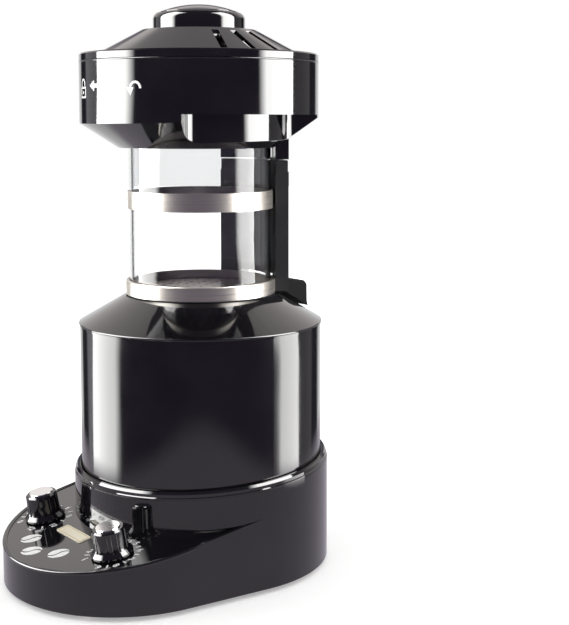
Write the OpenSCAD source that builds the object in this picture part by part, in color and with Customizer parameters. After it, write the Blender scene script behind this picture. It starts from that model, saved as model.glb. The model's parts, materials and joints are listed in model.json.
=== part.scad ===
// Home coffee bean roaster: a hot-air roaster whose glass chamber lifts off the base and
// whose chaff-collecting head tilts back on a column behind the glass.
// Millimetres. The table is at z = 0 and the control lobe points to -Y.

/* [Base] */
// Height of the rubber feet
foot_h = 2.5; // [2:0.5:4]
// Width of the trim ring round the drum
rim_w = 3.5; // [3:0.25:5]
// Height of the trim ring's top above the table, on the drum's axis
rim_h = 60.5; // [58:0.5:64]
// Angle at which the trim ring falls towards the lobe
rim_fall = 3; // [1:0.25:4]
// Height of the trim ring
ring_h = 4; // [3:0.25:5]
// Radius of the control lobe
lobe_r = 68; // [62:0.5:72]
// Distance from the drum's axis to the centre of the control lobe
lobe_reach = 48.8; // [46:0.2:54]
// Wall of the base
skirt_wall = 2.5; // [2:0.25:3]
// Thickness of the bottom cover
cover_t = 2.5; // [2:0.25:3.5]
// Radius of a rubber foot
foot_r = 7; // [5:0.5:9]
// Bore of the gland for the mains lead
gland_bore_r = 3.6; // [3:0.1:4.5]

/* [Control panel] */
// Height of the panel's plane above the table, on the drum's axis
panel_h = 42.7; // [41:0.1:44]
// Angle at which the panel falls towards the front
panel_fall = 9.8; // [9:0.1:10.5]
// Width of the raised lip round the panel
panel_lip = 2.2; // [1.5:0.1:3.5]
// Thickness of the printed panel
panel_t = 1.6; // [1:0.1:2]
// Thickness of the deck under the panel
deck_t = 2.5; // [2:0.25:3]
// Distance of each control knob from the middle
knob_x = 37.2; // [34:0.2:40]
// Distance of the control knobs in front of the drum's axis
knob_y = 80.7; // [80:0.1:84]
// Radius of a control knob's grip
knob_r = 8.9; // [8:0.1:10]
// Height of a control knob
knob_h = 14; // [12:0.5:18]
// Radius of a control shaft
shaft_r = 3; // [2.5:0.1:3.2]
// Grooves round a control knob
knob_grooves = 18; // [12:1:24]
// Width of the plate between the knobs
label_w = 26; // [16:0.5:30]
// Length of the plate between the knobs, front to back
label_l = 7.5; // [6:0.5:16]

/* [Drum] */
// Outer radius of the drum
drum_r = 68; // [67:0.25:72]
// Wall of the drum
drum_wall = 1; // [0.8:0.1:1.5]
// Height of the drum
drum_h = 88.8; // [80:0.4:100]
// Height of the ledge that carries the drum
ledge_h = 47; // [45:0.5:50]
// Slope of the shoulder over the drum
shoulder_slope = 30; // [28:0.5:33]

/* [Roasting chamber] */
// Outer radius of the glass
glass_r = 39.8; // [38.5:0.1:41]
// Wall of the glass
glass_t = 2; // [1.5:0.1:2.5]
// Height of the glass
glass_h = 81; // [70:0.5:100]
// Height of the steel collar
collar_h = 7.6; // [6:0.2:9]
// Wall of the steel collar
collar_t = 2; // [1.5:0.1:2.5]
// Height of the steel band round the glass
band_h = 10; // [6:0.5:14]
// Height of the band's lower edge above the foot of the glass
band_z = 45; // [30:0.5:50]
// Thickness of the column behind the glass
column_t = 7.5; // [7:0.25:9]
// Half the angle that the column spans
column_half = 38.7; // [36:0.3:40.2]
// Wall of the hollow column
column_wall = 2; // [1.5:0.1:2.2]
// Radius of the head's hinge knuckles
knuckle_r = 3.2; // [2.8:0.1:3.6]
// Radius of the head's hinge pin
hinge_pin_r = 1.5; // [1.2:0.1:1.8]
// Holes across the perforated floor, from its middle outwards
floor_rings = 4; // [3:1:5]
// Radius of a hole in the perforated floor
floor_hole_r = 1.2; // [0.8:0.1:1.6]

/* [Release lever] */
// Width of the lever
lever_w = 30; // [24:0.5:32]
// Radius of the lever's pin
lever_pin_r = 1.2; // [1:0.1:1.4]

/* [Head] */
// Outer radius of the head
cup_r = 66.6; // [66:0.1:70]
// Height of the chaff cup
cup_h = 47; // [44:0.5:56]
// Wall of the chaff cup
cup_wall = 2.2; // [1.8:0.1:2.6]
// Height of the cup's sloping underside
cone_h = 15; // [13:0.5:17]
// Angle at which the lower edge of the head rises to the back
cone_tilt = 1.6; // [0:0.1:2]
// Radius of the back wall of the finger grips
grip_r = 50; // [49:0.25:53]
// Height of the finger grips
grip_h = 18; // [16:0.5:20]
// Radius of the rounded ends of the finger grips
grip_round = 9; // [6:0.5:10]
// Half the angle between the centres of a finger grip's round ends
grip_half = 33.2; // [28:0.2:34]
// Inner radius of the chimney
chimney_r = 23; // [20:0.5:26]
// Height of the chimney above the cup's floor
chimney_h = 26.8; // [20:0.4:30]

/* [Lid] */
// Radius of the vented lid
lid_r = 57; // [55:0.25:58]
// Radius of the lid's flat top
lid_top_r = 32.5; // [30:0.25:35]
// Rise of the lid from its rim to its flat top
lid_rise = 13; // [10:0.5:16]
// Wall of the lid
lid_t = 2; // [1.6:0.1:2.4]
// Height of the locking ring
lock_h = 4.2; // [3.6:0.1:6]
// Number of vent slots
vent_count = 14; // [8:1:16]
// Angle from one vent slot to the next
vent_pitch = 17; // [14:0.5:20]
// Width of a vent slot
vent_w = 3.8; // [2:0.2:5]
// Radius of the lid's knob
lid_knob_r = 25.7; // [22:0.1:28]
// Height of the lid's knob
lid_knob_h = 14.5; // [12:0.5:18]

/* [Blower and heater] */
// Outer radius of the blower's housing
blower_r = 48; // [46:0.5:52]
// Radius of the impeller
impeller_r = 38; // [34:0.5:42]
// Number of impeller blades
impeller_blades = 12; // [8:1:16]
// Radius of the blower motor
motor_r = 15; // [12:0.5:18]
// Outer radius of the heater duct
duct_r = 33; // [31:0.25:34]
// Turns of the heating coil
coil_turns = 6; // [4:1:8]
// Width of the control board
board_w = 46; // [40:0.5:50]
// Length of the control board, front to back
board_l = 22; // [20:0.5:23]
/* [Hidden] */
$fn = 72;

far = 200;            // reaches past everything
gap = 0.3;            // between pieces that move past each other
fit = 0.05;           // radial play of a pin in its bore
seat = 0.5;           // how far a rib or boss runs into the wall that carries it

gloss_black = "#14141a";
soft_black = "#1d1d20";
steel = "#c3c6c8";
cream = "#e9e3cf";

// Base
base_r = drum_r + gap + 0.2 + rim_w;
well_r = base_r - skirt_wall;
gland_out = 3;
axis_y = (lobe_reach + lobe_r - base_r - gland_out) / 2;
cover_top = foot_h + cover_t;
panel_sink = panel_t + 0.4;
deck_drop = panel_sink + deck_t;
ledge_t = 3;
boss_r = 4;
boss_pilot_r = 1.3;
rear_boss_angle = 60;
front_boss_angle = 40;
boss_spots = [
    for (side = [-1, 1]) (well_r - boss_r + seat) * [side * sin(rear_boss_angle), cos(rear_boss_angle)],
    for (side = [-1, 1]) [0, -lobe_reach] + (lobe_r - skirt_wall - boss_r + seat)
        * [side * sin(front_boss_angle), -cos(front_boss_angle)]];
foot_spots = [
    for (side = [-1, 1]) (base_r - 24) * [side * sin(50), cos(50)],
    for (side = [-1, 1]) [0, -lobe_reach] + (lobe_r - 21) * [side * sin(52), -cos(52)]];
foot_stem_r = 2.4;
board_gap = 4;
gland_z = cover_top + 13;
gland_r = gland_bore_r + 1.9;

// Controls
shaft_hole_r = shaft_r + 1.2;
bushing_r = shaft_hole_r - gap;
knob_skirt_h = 3;
knob_skirt_r = knob_r + 2.1;
knob_cap_r = knob_r - 2.4;
knob_cap_t = 0.8;
knob_lift = 0.4;
label_t = 0.5;
label_shift = 2.5;
pot_r = 12;
pot_h = 7.5;

// Drum and shoulder
drum_top = ledge_h + drum_h;
edge_r = drum_r + 0.4;
edge_z = drum_top + 2;
collar_r = glass_r + 0.4 + collar_t;
shoulder_in_r = collar_r + 1.4;
shoulder_t = 2.3;
shoulder_top = shoulder_z(shoulder_in_r) + 0.4;
spigot_r = glass_r - 3.6;
socket_r = spigot_r + 0.8;
socket_z = shoulder_top - 9;

// Roasting chamber
chamber_z = shoulder_top + gap;
seal_t = 0.6;
collar_z = chamber_z + seal_t;
collar_floor_t = 1.8;
foot_seal_t = 0.8;
glass_z = collar_z + collar_floor_t + foot_seal_t;
glass_top = glass_z + glass_h;
collar_top = collar_z + collar_h;
spigot_h = 7.7;
floor_r = glass_r - glass_t - 0.6;
band_in_r = glass_r + gap;
band_r = band_in_r + 0.8;
column_in_r = collar_r + gap;
column_r = column_in_r + column_t;
bridge_z = collar_z + 8.6;
column_z = bridge_z + 2.2;
cap_z = glass_top - 16;
cap_t = 6.4;
hinge_y = column_r;
hinge_z = cap_z + gap + knuckle_r;
knuckle_half = 5.3;
pin_half = 10;

// Release lever
lever_half = lever_w / 2;
lever_barrel_r = lever_pin_r + 0.8;
lever_y = collar_r + gap + lever_barrel_r;
lever_z = collar_z + 4.1;
lever_rest = 1.85;
lever_end = edge_r - 2.2;
lever_pin_half = lever_half + 3;

// Head
cup_z = glass_top - 2;
cup_top = cup_z + cup_h;
cup_edge_z = cup_z + cone_h;
cone_slope = 1.48;
cone_wall = 2.65;
cup_bore_r = glass_r + 1.2;
cup_floor_z = glass_top + 2.2;
cup_floor_t = 2;
cup_floor_top = cup_floor_z + cup_floor_t;
arm_z = cap_z + cap_t + 0.7;
chimney_wall = 1;
lock_z = cup_top + gap;
lock_top = lock_z + lock_h;
lock_in_r = lid_r + gap;
lock_spigot_h = 6.3;
lock_spigot_r = cup_r - cup_wall - gap;
ledge_top = lock_top - 1.5;

// Lid
lid_rim_t = 1.2;
lid_edge_z = ledge_top + gap + lid_rim_t;
lid_slope = lid_rise / (lid_r - lid_top_r);
lid_drop = lid_t * sqrt(1 + lid_slope * lid_slope);
lid_spigot_r = lid_r - 3.4;
lid_spigot_t = 1.6;
lid_spigot_h = 5.3;
lid_top_z = lid_edge_z + lid_rise;
screen_t = 1;
lid_screw_r = 1.5;

// Blower and heater
blower_z = cover_top + 4;
blower_wall = 2;
inlet_r = 22;
blower_neck_z = 38;
duct_z = 42;
duct_wall = 1;
duct_top = socket_z - 2 - gap;
impeller_z = blower_z + blower_wall + 1;
motor_z = impeller_z + 17;
motor_h = 28;
motor_bore_top = motor_z + motor_h - 5;
fan_shaft_r = 1.5;
coil_z = motor_z + motor_h + 8;
coil_pitch = 7;
wire_r = 0.9;
coil_r = duct_r - duct_wall - wire_r - 1.6;
frame_h = coil_turns * coil_pitch + 14;

// Height of the shoulder's outside at a radius
function shoulder_z(r) = edge_z + (edge_r - r) * tan(shoulder_slope);
// Height of the lid's outside at a radius
function lid_z(r) = lid_edge_z + (lid_r - r) * lid_slope;
// Height of the panel's plane above the table at a place in front of the axis
function panel_at(y) = panel_h + tan(panel_fall) * y;

// ---- Shared shapes ----

// The model's middle lies under the middle of its box
module on_axis() {
    translate([0, axis_y, 0]) children();
}

// Prism on the base's plan: the drum's circle joined to the control lobe's by straight sides,
// which lie a hair inside the tangents so that they cross both circles
module egg(inset, h) {
    tuck = 0.02;
    r1 = base_r - inset - tuck;
    r2 = lobe_r - inset - tuck;
    lean = (r1 - r2) / lobe_reach;
    side = sqrt(1 - lean * lean);
    cylinder(r = r1 + tuck, h = h);
    translate([0, -lobe_reach, 0]) cylinder(r = r2 + tuck, h = h);
    linear_extrude(h) polygon([[r1 * side, -r1 * lean], [r2 * side, -lobe_reach - r2 * lean],
        [-r2 * side, -lobe_reach - r2 * lean], [-r1 * side, -r1 * lean]]);
}

// The space in front of the drum that the panel fills
module crescent(inset) {
    difference() {
        egg(panel_lip + inset, panel_h + ring_h);
        translate([0, 0, -1]) cylinder(r = base_r + inset, h = panel_h + ring_h + 2);
    }
}

// Everything under a plane that falls towards the lobe
module below_plane(height, angle) {
    translate([0, 0, height]) rotate([angle, 0, 0])
        translate([-far, -far, -far]) cube([2 * far, 2 * far, far]);
}

// A place on the panel's plane, square to it
module on_panel(x, y) {
    translate([x, y, panel_at(y)]) rotate([panel_fall, 0, 0]) children();
}

// Everything that lies a drop or more under the panel's plane
module below_panel(drop) {
    on_panel(0, 0) translate([-far, -far, -drop - far]) cube([2 * far, 2 * far, far]);
}

// Part of a ring, centred on the back of the chamber
module sector2d(r_in, r_out, half) {
    intersection() {
        difference() {
            circle(r_out);
            circle(r_in);
        }
        polygon([[0, 0], 2 * r_out * [-sin(half), cos(half)], 2 * r_out * [sin(half), cos(half)]]);
    }
}

module ring(r_in, r_out, z, h) {
    translate([0, 0, z]) linear_extrude(h) difference() {
        circle(r_out);
        circle(r_in);
    }
}

// A rod along X, centred on the middle
module cross_rod(r, half, y, z) {
    translate([-half, y, z]) rotate([0, 90, 0]) cylinder(r = r, h = 2 * half);
}

// ---- Base ----

module base_shell() {
    color(gloss_black) on_axis() {
        difference() {
            union() {
                intersection() {
                    translate([0, 0, foot_h]) egg(0, panel_h);
                    below_panel(0);
                }
                intersection() {
                    translate([0, 0, foot_h]) cylinder(r = base_r, h = rim_h + ring_h);
                    below_plane(rim_h - ring_h, rim_fall);
                }
            }
            intersection() {
                egg(skirt_wall, panel_h);
                below_panel(deck_drop);
            }
            cylinder(r = well_r, h = 2 * rim_h);
            difference() {
                crescent(0);
                below_panel(panel_sink);
            }
            for (side = [-1, 1]) on_panel(side * knob_x, -knob_y)
                translate([0, 0, -far / 20]) cylinder(r = shaft_hole_r, h = far / 10);
            translate([0, well_r - boss_r, gland_z]) rotate([-90, 0, 0])
                cylinder(r = gland_r, h = 2 * boss_r + skirt_wall);
        }
        ring(drum_r - 6.5, well_r + seat, ledge_h - ledge_t, ledge_t);
        screw_bosses();
    }
}

// Bosses that take the cover's screws, under the ledge behind and under the deck in front
module screw_bosses() {
    difference() {
        union() {
            for (i = [0, 1]) translate([boss_spots[i][0], boss_spots[i][1], cover_top])
                cylinder(r = boss_r, h = ledge_h - ledge_t - cover_top + seat);
            intersection() {
                for (i = [2, 3]) translate([boss_spots[i][0], boss_spots[i][1], cover_top])
                    cylinder(r = boss_r, h = ledge_h);
                below_panel(deck_drop - seat);
            }
        }
        for (spot = boss_spots) translate([spot[0], spot[1], 0])
            cylinder(r = boss_pilot_r, h = cover_top + 11);
    }
}

module base_trim_ring() {
    color(gloss_black) on_axis()
        translate([0, 0, rim_h - ring_h + 0.02]) rotate([rim_fall, 0, 0]) rotate_extrude()
            translate([drum_r + gap + 0.2, 0]) polygon([[0, 0], [rim_w - 0.1, 0],
                [rim_w - 0.1, 0.8], [rim_w - 0.6, 1.2], [rim_w - 0.6, ring_h - 1.2],
                [rim_w - 1.6, ring_h], [0.6, ring_h], [0, ring_h - 0.4]]);
}

module control_panel() {
    color(gloss_black) on_axis() difference() {
        intersection() {
            crescent(0.15);
            below_panel(panel_sink - panel_t);
        }
        below_panel(panel_sink);
        for (side = [-1, 1]) on_panel(side * knob_x, -knob_y)
            translate([0, 0, -far / 20]) cylinder(r = shaft_hole_r, h = far / 10);
    }
}

// A bare plate stuck to the panel between the knobs
module label_plate() {
    corner_r = 1.2;
    color(cream) on_axis() on_panel(-label_shift, -knob_y - 1)
        translate([0, 0, panel_t - panel_sink]) linear_extrude(label_t) union() {
            square([label_w - 2 * corner_r, label_l], center = true);
            square([label_w, label_l - 2 * corner_r], center = true);
            for (sx = [-1, 1], sy = [-1, 1])
                translate([sx * (label_w / 2 - corner_r), sy * (label_l / 2 - corner_r)]) circle(corner_r);
        }
}

module bottom_cover() {
    slots = 20;
    post_h = blower_z - cover_top;
    color(soft_black) on_axis() difference() {
        union() {
            translate([0, 0, foot_h]) egg(skirt_wall + gap, cover_t);
            for (spot = board_spots()) translate([spot[0], spot[1], cover_top])
                cylinder(r = 2.5, h = post_h);
        }
        for (spot = boss_spots) translate([spot[0], spot[1], foot_h]) {
            translate([0, 0, -1]) cylinder(r = 1.8, h = cover_t + 2);
            translate([0, 0, -0.01]) cylinder(r1 = 3.4, r2 = 1.8, h = 1.6);
        }
        for (spot = foot_spots) translate([spot[0], spot[1], foot_h - 1])
            cylinder(r = foot_stem_r, h = cover_t + 2);
        for (spot = board_spots()) translate([spot[0], spot[1], cover_top + 1])
            cylinder(r = 1, h = post_h);
        for (i = [0:slots - 1]) rotate(i * 360 / slots)
            translate([inlet_r - 13, -1.25, foot_h - 1]) cube([12, 2.5, cover_t + 2]);
    }
}

module rubber_feet() {
    color("#111111") on_axis() for (spot = foot_spots) translate([spot[0], spot[1], 0]) {
        rotate_extrude() polygon([[0, 0], [foot_r - 0.6, 0], [foot_r, 0.6], [foot_r, foot_h], [0, foot_h]]);
        translate([0, 0, foot_h]) cylinder(r = foot_stem_r, h = cover_t);
        translate([0, 0, cover_top]) cylinder(r = foot_stem_r + 1, h = 1);
    }
}

module cover_screws() {
    color(steel) on_axis() for (spot = boss_spots) translate([spot[0], spot[1], foot_h]) difference() {
        union() {
            cylinder(r1 = 3.3, r2 = 1.7, h = 1.6);
            cylinder(r = boss_pilot_r - fit, h = cover_t + 9);
        }
        for (turn = [0, 90]) rotate(turn) translate([-1.5, -0.35, -1]) cube([3, 0.7, 1.8]);
    }
}

module cord_gland() {
    color(soft_black) on_axis() translate([0, 0, gland_z]) difference() {
        union() {
            translate([0, well_r - 4, 0]) rotate([-90, 0, 0])
                cylinder(r = gland_r - fit, h = base_r + gland_out - well_r + 4);
            difference() {
                translate([0, base_r - 2, 0]) rotate([-90, 0, 0])
                    cylinder(r1 = gland_r + 3, r2 = gland_r + 2, h = gland_out + 2);
                translate([0, 0, -far / 2]) cylinder(r = base_r, h = far);
            }
            intersection() {
                translate([0, well_r - 4, 0]) rotate([-90, 0, 0]) cylinder(r = gland_r + 2, h = 8);
                translate([0, 0, -far / 2]) cylinder(r = well_r, h = far);
            }
        }
        translate([0, 0, 0]) rotate([-90, 0, 0]) cylinder(r = gland_bore_r, h = far);
    }
}

// ---- Drum and shoulder ----

module drum_shell() {
    color(gloss_black) on_axis() ring(drum_r - drum_wall, drum_r, ledge_h, drum_h);
}

// Cone that closes the drum, with the socket that the chamber stands in
module shoulder_cone() {
    lip_r = drum_r - drum_wall - 0.2;
    lip_in = lip_r - 1.5;
    color(gloss_black) on_axis() rotate_extrude() polygon([
        [edge_r, drum_top], [edge_r, edge_z], [shoulder_in_r, shoulder_z(shoulder_in_r)],
        [shoulder_in_r - 0.6, shoulder_top], [socket_r, shoulder_top], [socket_r, socket_z],
        [duct_r - 2, socket_z], [duct_r - 2, socket_z - 2], [socket_r + 2, socket_z - 2],
        [socket_r + 2, shoulder_z(shoulder_in_r) - shoulder_t],
        [shoulder_in_r, shoulder_z(shoulder_in_r) - shoulder_t],
        [lip_in, shoulder_z(lip_in) - shoulder_t], [lip_in, drum_top - 3.8],
        [lip_r, drum_top - 3.8], [lip_r, drum_top]]);
}

// ---- Blower and heater ----

module blower_housing() {
    shelf_r = duct_r - 2.5;
    neck_r = duct_r + 2.2;
    color(soft_black) on_axis() {
        rotate_extrude() polygon([
            [inlet_r, blower_z], [blower_r, blower_z], [blower_r, blower_neck_z - 6],
            [neck_r, blower_neck_z + 3], [neck_r, duct_z + 6], [duct_r + 0.1, duct_z + 6],
            [duct_r + 0.1, duct_z], [shelf_r, duct_z], [shelf_r, duct_z - 2],
            [duct_r, duct_z - 2], [blower_r - blower_wall, blower_neck_z - 7],
            [blower_r - blower_wall, blower_z + blower_wall], [inlet_r, blower_z + blower_wall]]);
        for (turn = [0:90:270]) rotate(turn) translate([blower_r - 5, 0, cover_top])
            cylinder(r = 3, h = blower_z - cover_top);
    }
}

// Ring and arms that hold the motor over the impeller
module motor_mount() {
    mount_arm_z = motor_z - 1.5;
    mount_h = 9;
    arm_in = motor_r + 1;
    arm_out = blower_r - blower_wall - 0.2;
    color("#8d9195") on_axis() difference() {
        union() {
            ring(motor_r + fit, motor_r + 3, motor_z, mount_h);
            for (turn = [0:120:240]) rotate(turn)
                translate([arm_in, -3, mount_arm_z]) cube([arm_out - arm_in, 6, 3]);
        }
        translate([0, 0, motor_z - 1]) cylinder(r = motor_r + fit, h = mount_h + 3);
    }
}

module fan_motor() {
    color(steel) on_axis() difference() {
        union() {
            translate([0, 0, motor_z]) cylinder(r = motor_r, h = motor_h);
            translate([0, 0, motor_z + motor_h]) cylinder(r = 4, h = 3);
        }
        translate([0, 0, motor_z - 1]) cylinder(r = fan_shaft_r + fit, h = motor_bore_top - motor_z + 1);
    }
}

module fan_impeller() {
    blade_h = 12;
    hub_r = 5;
    shaft_top = motor_bore_top - 1;
    color("#b9bcbf") on_axis() {
        translate([0, 0, impeller_z + blade_h]) cylinder(r = impeller_r, h = 1.5);
        translate([0, 0, impeller_z]) cylinder(r = hub_r, h = blade_h + seat);
        translate([0, 0, impeller_z + blade_h])
            cylinder(r = fan_shaft_r, h = shaft_top - impeller_z - blade_h);
        for (i = [0:impeller_blades - 1]) rotate(i * 360 / impeller_blades)
            translate([hub_r + 3, 0, impeller_z]) rotate(25)
                cube([impeller_r - hub_r - 7, 1.2, blade_h + seat]);
    }
}

module heater_duct() {
    color(steel) on_axis() ring(duct_r - duct_wall, duct_r, duct_z, duct_top - duct_z);
}

// Crossed mica plates, wide at both ends to centre them in the duct
module heater_frame() {
    wide = duct_r - duct_wall - gap;
    slim = coil_r - wire_r - 0.6;
    end_h = 5;
    color("#cfc6a8") on_axis() translate([0, 0, coil_z]) {
        for (turn = [0, 90]) rotate(turn) {
            translate([-slim, -0.5, 0]) cube([2 * slim, 1, frame_h]);
            for (z = [0, frame_h - end_h]) translate([-wide, -0.5, z]) cube([2 * wide, 1, end_h]);
        }
    }
}

// Points of a tube's skin along a helix, six to a ring
function helix_skin(turns, steps, r, pitch, wire) = [
    for (i = [0:turns * steps]) for (side = [0:5])
        let (turn = i * 360 / steps, out = r + wire * cos(side * 60))
            [out * cos(turn), out * sin(turn), i * pitch / steps + wire * sin(side * 60)]];

function tube_faces(rings) = concat(
    [for (side = [1, 2, 3, 4]) [0, side, side + 1]],
    [for (side = [1, 2, 3, 4]) [6 * rings, 6 * rings + side + 1, 6 * rings + side]],
    [for (i = [0:rings - 1]) for (side = [0:5]) let (next = (side + 1) % 6)
        [6 * i + side, 6 * i + 6 + side, 6 * i + 6 + next]],
    [for (i = [0:rings - 1]) for (side = [0:5]) let (next = (side + 1) % 6)
        [6 * i + side, 6 * i + 6 + next, 6 * i + next]]);

module heater_coil() {
    steps = 16;
    color("#9a8f86") on_axis() translate([0, 0, coil_z + 7])
        polyhedron(points = helix_skin(coil_turns, steps, coil_r, coil_pitch, wire_r),
            faces = tube_faces(coil_turns * steps));
}

// Thermal cut-out strapped to the outside of the duct
module thermal_cutout() {
    color("#7c5a3c") on_axis() translate([0, duct_r + fit, coil_z + frame_h / 2]) rotate([-90, 0, 0]) {
        cylinder(r = 6, h = 4);
        cylinder(r = 3, h = 6);
    }
}

// Places of the posts that carry the control board
function board_spots() = [for (side = [-1, 1]) for (inset = [4, board_l - 4])
    [side * (board_w / 2 - 4), -blower_r - board_gap - inset]];

module control_board() {
    board_t = 1.6;
    board_y = -blower_r - board_gap - board_l;
    color("#2f5a3a") on_axis() difference() {
        union() {
            translate([-board_w / 2, board_y, blower_z]) cube([board_w, board_l, board_t]);
            translate([-14, board_y + 6, blower_z + board_t]) cube([12, 10, 7]);
            translate([3, board_y + 6, blower_z + board_t]) cube([8, 11, 6]);
            translate([0, board_y + 3, blower_z + board_t]) cylinder(r = 2, h = 6);
        }
        for (spot = board_spots()) translate([spot[0], spot[1], blower_z - 1]) cylinder(r = 1.3, h = 4);
    }
}

// ---- Controls ----

// A rotary control under the deck, with the bushing that its shaft turns in
module control_pot(x) {
    color("#8d9195") on_axis() on_panel(x, -knob_y) difference() {
        union() {
            translate([0, 0, -deck_drop - pot_h]) cylinder(r = pot_r, h = pot_h);
            translate([0, 0, -deck_drop]) cylinder(r = bushing_r, h = deck_drop - 0.6);
        }
        translate([0, 0, -deck_drop - pot_h + 1]) cylinder(r = shaft_r + fit, h = far);
    }
}

module control_shaft(x) {
    bottom = -deck_drop - pot_h + 1 + gap;
    color(steel) on_axis() on_panel(x, -knob_y)
        translate([0, 0, bottom]) cylinder(r = shaft_r, h = knob_h - 4 - bottom);
}

module control_knob(x) {
    groove_r = 0.9;
    color(soft_black) on_axis() on_panel(x, -knob_y) difference() {
        union() {
            translate([0, 0, knob_lift]) rotate_extrude() polygon([[0, 0], [knob_skirt_r, 0],
                [knob_skirt_r, 1], [knob_r + 0.4, knob_skirt_h], [knob_r, knob_skirt_h + 1],
                [knob_r - 0.3, knob_h - 0.8], [knob_r - 1.1, knob_h], [0, knob_h]]);
        }
        for (i = [0:knob_grooves - 1]) rotate(i * 360 / knob_grooves)
            translate([knob_r + 0.45, 0, knob_lift + knob_skirt_h]) cylinder(r = groove_r, h = knob_h);
        translate([0, 0, -1]) cylinder(r = shaft_r, h = knob_h - 3);
    }
}

module control_cap(x) {
    color(steel) on_axis() on_panel(x, -knob_y) translate([0, 0, knob_lift + knob_h])
        rotate_extrude() polygon([[0, 0], [knob_cap_r, 0], [knob_cap_r, knob_cap_t - 0.3],
            [knob_cap_r - 0.3, knob_cap_t], [0, knob_cap_t]]);
}

module roast_pot() { control_pot(knob_x); }
module roast_shaft() { control_shaft(knob_x); }
module roast_knob() { control_knob(knob_x); }
module roast_knob_cap() { control_cap(knob_x); }
module timer_pot() { control_pot(-knob_x); }
module timer_shaft() { control_shaft(-knob_x); }
module timer_knob() { control_knob(-knob_x); }
module timer_knob_cap() { control_cap(-knob_x); }

// ---- Roasting chamber ----

// Steel collar round the foot of the glass, with the spigot that stands in the socket
module chamber_collar() {
    color(steel) on_axis() rotate_extrude() polygon([
        [spigot_r - 1.2, collar_z - spigot_h], [spigot_r, collar_z - spigot_h],
        [spigot_r, collar_z], [collar_r, collar_z], [collar_r, collar_top - 0.4],
        [collar_r - 0.4, collar_top], [collar_r - collar_t, collar_top],
        [collar_r - collar_t, collar_z + collar_floor_t], [spigot_r - 3, collar_z + collar_floor_t],
        [spigot_r - 3, collar_z], [spigot_r - 1.2, collar_z]]);
}

module chamber_seal() {
    color("#1a1a1a") on_axis() ring(socket_r + 0.6, collar_r - 0.4, chamber_z, seal_t);
}

module chamber_floor() {
    hole_pitch = 7.2;
    color("#a9acae") on_axis() difference() {
        translate([0, 0, collar_z + collar_floor_t]) cylinder(r = floor_r, h = 1);
        for (row = [0:floor_rings]) for (i = [0:max(1, 6 * row) - 1])
            rotate(i * 60 / max(1, row)) translate([row * hole_pitch, 0, collar_z])
                cylinder(r = floor_hole_r, h = collar_h);
    }
}

module glass_foot_seal() {
    color("#1a1a1a") on_axis() ring(glass_r - glass_t, glass_r, collar_z + collar_floor_t, foot_seal_t);
}

module glass_cylinder() {
    color([0.85, 0.9, 0.92, 0.35]) on_axis() ring(glass_r - glass_t, glass_r, glass_z, glass_h);
}

// Steel band round the glass, with the lug that holds it to the column
module band_clamp() {
    lug_h = min(6, band_h);
    z = glass_z + band_z;
    color(steel) on_axis() difference() {
        union() {
            ring(band_in_r, band_r, z, band_h);
            translate([0, 0, z + (band_h - lug_h) / 2]) linear_extrude(lug_h)
                sector2d(band_in_r, column_in_r - 0.1, 8);
        }
        band_screw_hole(1.4);
    }
}

module band_screw_hole(r) {
    translate([0, band_in_r - 1, glass_z + band_z + band_h / 2]) rotate([-90, 0, 0]) cylinder(r = r, h = 8);
}

module band_screw() {
    start = band_r;
    color(steel) on_axis() translate([0, start, glass_z + band_z + band_h / 2]) rotate([-90, 0, 0]) {
        cylinder(r = 1.35, h = column_in_r + column_wall - start);
        translate([0, 0, column_in_r + column_wall - start]) cylinder(r = 2.6, h = 1.4);
    }
}

// Hollow column behind the glass, which carries the head
module back_column() {
    color(gloss_black) on_axis() difference() {
        translate([0, 0, column_z]) linear_extrude(cap_z - column_z) difference() {
            sector2d(column_in_r, column_r, column_half);
            column_cavity2d(0);
        }
        band_screw_hole(1.6);
    }
}

module column_cavity2d(inset) {
    sector2d(column_in_r + column_wall + inset, column_r - column_wall - inset,
        column_half - 3.2 - 0.4 * inset);
}

// Foot that joins the column to the collar and carries the release lever
module column_foot() {
    color(gloss_black) on_axis() difference() {
        union() {
            translate([0, 0, collar_z]) linear_extrude(column_z - collar_z)
                sector2d(collar_r + 0.1, column_r, column_half);
            translate([0, 0, column_z]) linear_extrude(8) column_cavity2d(0.1);
        }
        translate([-lever_half - 0.4, 0, collar_z - 1])
            cube([lever_w + 0.8, far, bridge_z - collar_z + 1]);
        cross_rod(lever_pin_r + fit, lever_pin_half, lever_y, lever_z);
    }
}

// Cap of the column, with the ears of the head's hinge
module column_cap() {
    color(gloss_black) on_axis() difference() {
        union() {
            translate([0, 0, cap_z]) linear_extrude(cap_t)
                sector2d(column_in_r + 0.4, column_r - 0.5, column_half - 0.5);
            intersection() {
                cross_rod(knuckle_r, pin_half, hinge_y, hinge_z);
                translate([-far, hinge_y - far, cap_z]) cube([2 * far, 2 * far, cap_t + 1]);
            }
        }
        translate([-knuckle_half - gap, hinge_y - knuckle_r - 1, cap_z - 1])
            cube([2 * (knuckle_half + gap), 3 * knuckle_r, cap_t + 3]);
        cross_rod(hinge_pin_r + fit, pin_half + 1, hinge_y, hinge_z);
    }
}

module hinge_pin() {
    color(steel) on_axis() cross_rod(hinge_pin_r, pin_half, hinge_y, hinge_z);
}

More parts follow.
